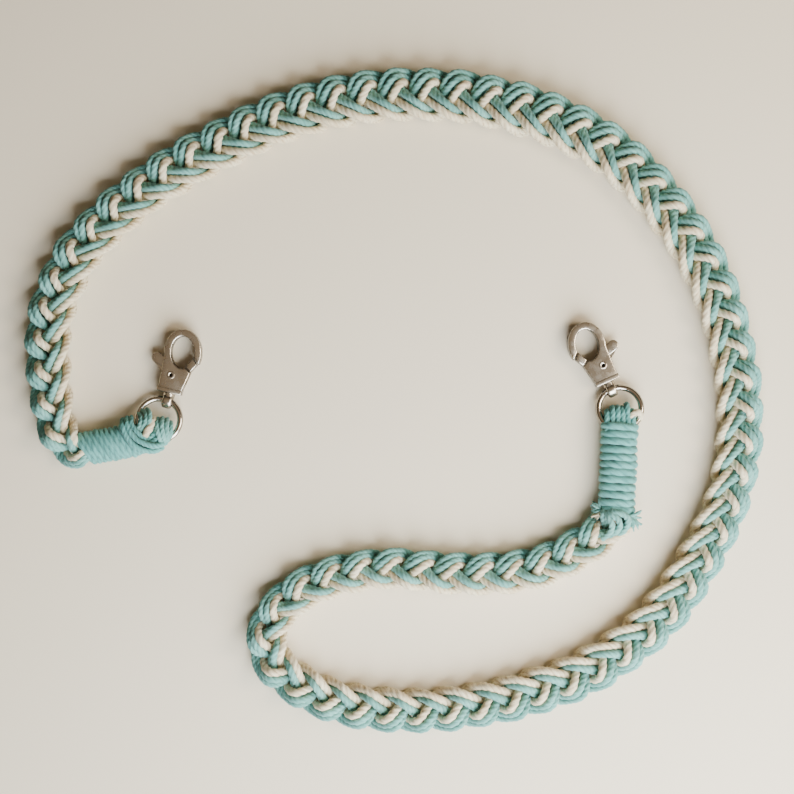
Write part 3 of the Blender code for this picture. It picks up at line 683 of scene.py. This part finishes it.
def ring_matrix(side):
    """The ring's own frame: it hangs in the eye at one side and in the cords at the other."""
    hook, radius = HOOKS[side], (RING_OUTER - RING_WIRE) / 2
    in_eye = -(GAP + (EYE_LENGTH - EYE_HOLE_LENGTH) / 2 + RING_PLAY + RING_WIRE / 2)
    off, in_cords = hook["ring_off"] * MM, hook["cords"] * MM
    middle = hook_matrix(side) @ Vector((off, in_eye - math.sqrt(radius**2 - off**2), 0))
    middle.z = (HOOK_AXIS_HEIGHT + in_cords) / 2
    lift = math.asin((in_cords - HOOK_AXIS_HEIGHT) / (2 * radius))
    turned = Matrix.Rotation(math.radians(hook["turn"]), 4, "Z") @ Matrix.Rotation(-lift, 4, "X")
    return Matrix.Translation(middle) @ turned


def mark_painted_sides(obj):
    """Stores how steep the piece stands at each corner of its faces: the mask of the painted dark reflection
    on its sides.
    """
    mesh = obj.data
    normals = np.zeros(len(mesh.loops) * 3)
    mesh.corner_normals.foreach_get("vector", normals)
    steep = 1 - np.abs(normals.reshape(-1, 3)[:, 2])
    # This attribute is the mask of the painted dark reflection
    layer = mesh.attributes.new("side", "FLOAT", "CORNER")
    layer.data.foreach_set("value", np.clip((steep - SIDE_FROM) / SIDE_OVER, 0, 1))
    return obj


def finish_piece(bm, name, material, body, matrix=None, sharp=35.0):
    """A bmesh becomes a piece at the origin, with its place in its mesh."""
    if matrix is not None:
        bm.transform(matrix)
    bmesh.ops.recalc_face_normals(bm, faces=bm.faces)
    mesh = bpy.data.meshes.new(name)
    bm.to_mesh(mesh)
    bm.free()
    mesh.shade_smooth()
    mesh.set_sharp_from_angle(angle=math.radians(sharp))
    mesh.materials.append(material)
    obj = bpy.data.objects.new(name, mesh)
    bpy.context.scene.collection.objects.link(obj)
    if body:
        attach(obj, body)
    return obj


def wire_ring(side):
    """A round wire ring, spun from its section."""
    bm = bmesh.new()
    place = Matrix.Translation(((RING_OUTER - RING_WIRE) / 2, 0, 0)) @ Matrix.Rotation(math.pi / 2, 4, "X")
    circle = bmesh.ops.create_circle(bm, segments=20, radius=RING_WIRE / 2, matrix=place)["verts"]
    edges = list({edge for vert in circle for edge in vert.link_edges})
    bmesh.ops.spin(
        bm, geom=circle + edges, cent=(0, 0, 0), axis=(0, 0, 1), angle=2 * math.pi, steps=72, use_merge=True
    )
    ring = finish_piece(bm, f"wire_ring_{side}", ring_metal, "strap", ring_matrix(side), sharp=80)
    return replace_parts(mark_painted_sides(ring), f"ring_{side}")


for side in ("left", "right"):
    print(wire_ring(side).name, "is", round(RING_OUTER * 1000, 1), "mm across")

# %% [markdown]
# ## The trigger hooks
# The cast body is a thick flat plate with a leaning oval bow, and its rims are rounded. An outline
# drawn once is filled, pulled up to the plate's thickness and bevelled all round. A slot through the
# lower part takes the lever. The same outline, mirrored, gives the hook of the other hand.

# %% Hook outline
HOOK_THICK, BASE_WIDTH = 5.4 * MM, 9.0 * MM
BOW = {"width": 14.4 * MM, "length": 18.0 * MM, "wire": 2.8 * MM, "x": 1.7 * MM, "y": 16.3 * MM}
BOW_LEAN = math.radians(12)
NOSE_IN, NOSE_OUT, FOOT, BACK = -17, -31, 285, 192
RIVET, RIVET_RADIUS = (-0.7 * MM, 6.8 * MM), 1.0 * MM
SLOT = 2.1 * MM
LEVER_BOSS, TAB_RADIUS, TAB_REACH, TAB_Y = 1.9 * MM, 1.9 * MM, 9.7 * MM, 12.2 * MM


def bow_point(degrees, inset=0.0):
    """A point on the bow's leaning oval, set in from its outside."""
    a = math.radians(degrees)
    x, y = (BOW["width"] / 2 - inset) * math.cos(a), (BOW["length"] / 2 - inset) * math.sin(a)
    turn = Matrix.Rotation(BOW_LEAN, 2)
    return Vector((BOW["x"], BOW["y"])) + turn @ Vector((x, y))


def steps(first, last, count):
    """Evenly spaced numbers from first to last."""
    return [first + (last - first) * i / (count - 1) for i in range(count)]


def arc(centre, radius, first, last, count):
    """Points on an arc round a centre, from one direction in degrees to another."""
    ways = [math.radians(d) for d in steps(first, last, count)]
    return [Vector(centre) + radius * Vector((math.cos(way), math.sin(way))) for way in ways]


foot = bow_point(FOOT, BOW["wire"])
cheek = Vector((BASE_WIDTH * 0.7, RIVET[1] + LEVER_BOSS * 1.32))
outside = [bow_point(d) for d in steps(NOSE_OUT, BACK, 40)]
inner_edge = [bow_point(d, BOW["wire"]) for d in steps(NOSE_IN, FOOT, 48)]
corners = Vector((BASE_WIDTH / 2, 0)), Vector((-BASE_WIDTH / 2, 0))
body_outline = [corners[0], cheek, *reversed(inner_edge), *outside, corners[1]]
print("hook outline", len(body_outline), "points")


# %% [markdown]
# ## Plates, drums and cuts
# Cast parts like these are made of a few plain shapes. A plate is a filled outline that extrude pulls
# up and bevel rounds; a drum is a cone with two like ends. A boolean modifier joins or cuts them, and
# its result is kept as the piece's mesh. Last, a piece is turned over for its hand and put in its
# place.

# %% Plates and cuts
def plate(outline, bottom, top, bevel=0.0):
    """A flat outline pulled up to a thickness, with both rims rounded."""
    bm = bmesh.new()
    face = bm.faces.new([bm.verts.new((p[0], p[1], bottom)) for p in outline])
    grown = bmesh.ops.extrude_face_region(bm, geom=[face])["geom"]
    upper = [part for part in grown if isinstance(part, bmesh.types.BMVert)]
    bmesh.ops.translate(bm, verts=upper, vec=(0, 0, top - bottom))
    bmesh.ops.recalc_face_normals(bm, faces=bm.faces)
    if bevel:
        rims = [e for e in bm.edges if abs(e.verts[0].co.z - e.verts[1].co.z) < 1e-6]
        bmesh.ops.bevel(
            bm, geom=rims, offset=bevel, segments=3, profile=0.5, affect="EDGES", material=-1,
            clamp_overlap=True,
        )
    return bm


def drum(radius, start, end, axis="Z", centre=(0.0, 0.0), sides=32, far=None):
    """A round bar along Z or Y. Along Z its far end may have another radius."""
    bm = bmesh.new()
    middle = (start + end) / 2
    place = Matrix.Translation((centre[0], centre[1], middle))
    if axis == "Y":
        place = Matrix.Translation((centre[0], middle, 0)) @ Matrix.Rotation(math.pi / 2, 4, "X")
    bmesh.ops.create_cone(
        bm, cap_ends=True, segments=sides, radius1=radius, radius2=far or radius, depth=end - start,
        matrix=place,
    )
    return bm


def combine(obj, bm, operation):
    """Adds a shape to a piece, or cuts it away."""
    tool = finish_piece(bm, "tool", obj.data.materials[0], None)
    step = obj.modifiers.new("combine", "BOOLEAN")
    step.operation, step.solver, step.object = operation, "EXACT", tool
    graph = bpy.context.evaluated_depsgraph_get()
    made = bpy.data.meshes.new_from_object(obj.evaluated_get(graph))
    obj.modifiers.clear()
    obj.data = made
    bpy.data.objects.remove(tool)
    return obj


def settle(obj, gate, matrix, body):
    """Turns a piece over for its hand, puts it in place and lets it ride."""
    bm = bmesh.new()
    bm.from_mesh(obj.data)
    if gate < 0:
        bmesh.ops.scale(bm, vec=(-1, 1, 1), verts=bm.verts)
        bmesh.ops.reverse_faces(bm, faces=bm.faces)
    bm.transform(matrix)
    bm.to_mesh(obj.data)
    bm.free()
    obj.data.shade_smooth()
    obj.data.set_sharp_from_angle(angle=math.radians(35))
    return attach(mark_painted_sides(obj), body)


print("plate tools ready")


# %% [markdown]
# ## The hook bodies
# The body is the plate of the outline with a slot for the lever and a bore for the swivel, and a lip
# round its base. A rivet goes through it as the lever's pin. Its peened heads are low domes with a pit,
# as a punch leaves.

# %% Hook bodies
POCKET = 4.6 * MM  # how deep the swivel's head can go in
BORE, HEAD_BORE, HEAD_START = 1.25 * MM, 2.05 * MM, 2.8 * MM
LIP, LIP_TALL = 0.25 * MM, 0.3 * MM  # how far the lip stands out at the sides, and above and below
PIT_TIP, PIT_MOUTH, PIT_DEEP, OVER = 0.08 * MM, 0.72 * MM, 1.5 * MM, 0.4 * MM


def rivet_head(half, way):
    """A peened rivet's head, spun from its section. Its pit is cut afterwards."""
    bm = bmesh.new()
    section = [
        (0.001, -1.0), (1.5, -1.0), (1.5, 0.0), (1.38, 0.28),
        (1.08, 0.38), (0.8, 0.3), (0.5, 0.1), (0.001, 0.05),
    ]
    verts = [bm.verts.new((RIVET[0] + r * MM, RIVET[1], way * (half + z * MM))) for r, z in section]
    edges = [bm.edges.new((verts[i], verts[(i + 1) % len(verts)])) for i in range(len(verts))]
    bmesh.ops.spin(
        bm, geom=verts + edges, cent=(*RIVET, 0), axis=(0, 0, 1), angle=2 * math.pi, steps=32,
        use_merge=True,
    )
    bmesh.ops.remove_doubles(bm, verts=bm.verts, dist=0.004 * MM)
    bmesh.ops.dissolve_degenerate(bm, edges=bm.edges, dist=0.002 * MM)
    return bm


def hook_body(side):
    """The cast body with its slot, the swivel's bore and the rivet."""
    half = HOOK_THICK / 2
    slot_top, below_nose = TAB_Y + TAB_RADIUS + GAP, foot[1] + 2 * GAP
    body = finish_piece(plate(body_outline, -half, half, 0.95 * MM), f"hook_{side}", hook_metal, None)
    reach = BOW["width"]
    slot = [
        (-reach, POCKET - GAP), (reach, POCKET - GAP), (reach, below_nose), (BOW["x"], below_nose),
        (BOW["x"], slot_top), (-reach, slot_top),
    ]
    combine(body, plate(slot, -SLOT / 2, SLOT / 2), "DIFFERENCE")
    combine(body, drum(HEAD_BORE, HEAD_START, POCKET, "Y"), "DIFFERENCE")
    # The lip that the swivel's eye bears on, and the bore through both
    wide, tall = BASE_WIDTH / 2 + LIP, half + LIP_TALL
    lip = [(-wide, 0), (wide, 0), (wide, 1.7 * MM), (-wide, 1.7 * MM)]
    combine(body, plate(lip, -tall, tall, 0.3 * MM), "UNION")
    combine(body, drum(BORE, -GAP, 3.1 * MM, "Y"), "DIFFERENCE")
    combine(body, drum(RIVET_RADIUS, -half - 0.1 * MM, half + 0.1 * MM, "Z", RIVET), "UNION")
    for way in (-1, 1):
        combine(body, rivet_head(half, way), "UNION")
    combine(body, drum(PIT_TIP, half - PIT_DEEP, half + OVER, "Z", RIVET, far=PIT_MOUTH), "DIFFERENCE")
    combine(body, drum(PIT_MOUTH, -half - OVER, PIT_DEEP - half, "Z", RIVET, far=PIT_TIP), "DIFFERENCE")
    settle(body, HOOKS[side]["gate"], hook_matrix(side), f"{side}_hook")
    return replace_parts(body, f"hook_body_{side}")


for side in ("left", "right"):
    print(hook_body(side).name, "placed")


# %% [markdown]
# ## The levers
# The lever is the hook's moving part: a thin arm inside the slot that turns on the rivet, with the
# thick gate at one end and a thumb tab at the other. The gate's tip is an arc round the rivet, so it
# can swing in past the nose.

# %% Levers
LEAF_ROOT, LEAF_HALF = -4.6 * MM, 0.93 * MM  # where the tab's leaf starts, and half its thickness


def from_rivet(point, distance):
    """The point in the same direction from the rivet at a distance from it."""
    return Vector(RIVET) + (Vector(point) - Vector(RIVET)).normalized() * distance


def lever(side):
    """Gate, arm and thumb tab in one piece."""
    nose_in, nose_out = bow_point(NOSE_IN, BOW["wire"]), bow_point(NOSE_OUT)
    reach = (nose_in - Vector(RIVET)).length - 1.5 * GAP
    tips = [from_rivet(nose_out.lerp(nose_in, t), reach) for t in steps(0, 1, 7)]
    root_out, root_in = cheek + Vector((0, GAP)), foot + Vector((0, GAP))
    gate_half = HOOK_THICK / 2 - GAP
    gate = plate([root_out, *tips, root_in], -gate_half, gate_half, 0.45 * MM)
    piece = finish_piece(gate, f"lever_{side}", lever_metal, None)
    tab = arc((TAB_RADIUS - TAB_REACH, TAB_Y), TAB_RADIUS, 95, 240, 12)
    boss = arc(RIVET, LEVER_BOSS, 200, 325, 12)
    inner, outer = root_in.lerp(tips[-1], 0.25), root_out.lerp(tips[0], 0.25)
    saddle = [bow_point(degrees, BOW["wire"] * 0.75) for degrees in steps(278, 214, 8)]
    arm = [*tab, *boss, cheek - Vector((GAP, GAP)), outer, inner, *saddle]
    thin = (SLOT - 2 * GAP) / 2
    combine(piece, plate(arm, -thin, thin), "UNION")
    # The thumb tab outside the slot is a flat leaf with a round end, as thick as the slot lets it be
    leaf = arc((1.05 * TAB_RADIUS - TAB_REACH, TAB_Y), 1.08 * TAB_RADIUS, 78, 258, 20)
    leaf += arc((LEAF_ROOT, TAB_Y - 1.3 * MM), 1.15 * TAB_RADIUS, -60, 60, 8)
    combine(piece, plate(leaf, -LEAF_HALF, LEAF_HALF, 0.32 * MM), "UNION")
    combine(piece, drum(RIVET_RADIUS + GAP, -SLOT, SLOT, "Z", RIVET), "DIFFERENCE")
    settle(piece, HOOKS[side]["gate"], hook_matrix(side), f"{side}_lever")
    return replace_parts(piece, f"hook_lever_{side}")


for side in ("left", "right"):
    print(lever(side).name, "placed")


# %% [markdown]
# ## The swivel eyes
# The eye is a small upright oval with a hole for the ring. Its shank goes through the hook's base and
# ends in a head that keeps it there, so that the hook can turn, and a collar bears on the base from
# outside.

# %% Swivel eyes
EYE_WIDTH, EYE_HOLE_WIDTH, EYE_HALF = 5.7 * MM, 3.4 * MM, 1.9 * MM
SHANK, HEAD, COLLAR = 0.95 * MM, 1.75 * MM, 2.3 * MM  # radii


def oval(wide, long):
    """The outline of an oval."""
    ways = [math.radians(d) for d in steps(0, 350, 36)]
    return [(long / 2 * math.cos(way), wide / 2 * math.sin(way)) for way in ways]


def swivel_eye(side):
    """The eye, its shank, its collar and its head."""
    whole = plate(oval(EYE_WIDTH, EYE_LENGTH), -EYE_HALF, EYE_HALF, 0.95 * MM)
    eye = finish_piece(whole, f"eye_{side}", hook_metal, None)
    combine(eye, plate(oval(EYE_HOLE_WIDTH, EYE_HOLE_LENGTH), -2 * MM, 2 * MM), "DIFFERENCE")
    stand = Matrix.Rotation(math.pi / 2, 4, "Y") @ Matrix.Rotation(math.pi / 2, 4, "Z")
    eye.data.transform(Matrix.Translation((0, -GAP - EYE_LENGTH / 2, 0)) @ stand)
    combine(eye, drum(SHANK, -GAP - 0.8 * MM, 3.7 * MM, "Y"), "UNION")
    combine(eye, drum(COLLAR, -GAP - 1.2 * MM, -GAP, "Y"), "UNION")
    combine(eye, drum(HEAD, 3.1 * MM, 4.3 * MM, "Y"), "UNION")
    settle(eye, 1, hook_matrix(side), "strap")
    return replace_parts(eye, f"swivel_eye_{side}")


for side in ("left", "right"):
    print(swivel_eye(side).name, "placed")

# %% [markdown]
# ## The table and the light
# The strap lies on a plain pale table. A window to the right draws the cords' soft shades, and a broad,
# cooler light low in front brightens the lower right, so that the table falls off to a warmer grey
# towards the top. The rest is the light of the room. Its colour follows the height of the direction it
# comes from: a warm ceiling and a dark horizon, which the rims of the metal mirror. Below the horizon
# it is pale, so that a low view of the table doesn't end against black.

# %% Table and light
table_top, _ = new_material("table_top", 0.75, Base_Color=(0.86, 0.742, 0.565, 1))
table = finish_piece(drum(1.6, -0.02, 0.0, sides=64), "table", table_top, None, sharp=30)
table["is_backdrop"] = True


def soft_light(name, place, size, power, colour):
    """A square area light that looks at the middle of the strap."""
    data = bpy.data.lights.new(name, "AREA")
    data.size, data.energy, data.color = size, power, colour
    light = bpy.data.objects.new(name, data)
    light.location = place
    light.rotation_euler = (-Vector(place)).to_track_quat("-Z", "Y").to_euler()
    bpy.context.scene.collection.objects.link(light)
    return light


soft_light("window_light", (0.60, 0.0, 0.50), 0.34, 5.2, (1.0, 0.90, 0.74))
soft_light("front_light", (0.20, -0.38, 0.34), 0.5, 10.6, (0.88, 0.95, 1.0))
world = bpy.data.worlds.new("room")
world.use_nodes = True
tree = world.node_tree
direction = add_node(tree, "TexCoord").outputs["Generated"]
way_up = add_node(tree, "SeparateXYZ", Vector=direction).outputs["Z"]
room = colour_ramp(tree, way_up, [
    (0.0, (0.75, 0.60, 0.44)), (0.02, (0.03, 0.025, 0.02)), (0.6, (0.20, 0.16, 0.115)),
    (0.93, (0.85, 0.64, 0.42)), (0.98, (1.0, 0.80, 0.56)),
])
tree.links.new(room, tree.nodes["Background"].inputs["Color"])
tree.nodes["Background"].inputs["Strength"].default_value = 0.26
bpy.context.scene.world = world
print("lights ready")

# %% [markdown]
# ## Sizes and finish
# The dressed strap has to stay as large as the solids, so both boxes are kept side by side.

# %% Sizes and finish
visual_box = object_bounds()
sizes = {"solids": [list(c) for c in solid_box], "visual": [list(c) for c in visual_box]}
print("solids", sizes["solids"])
print("visual", sizes["visual"])
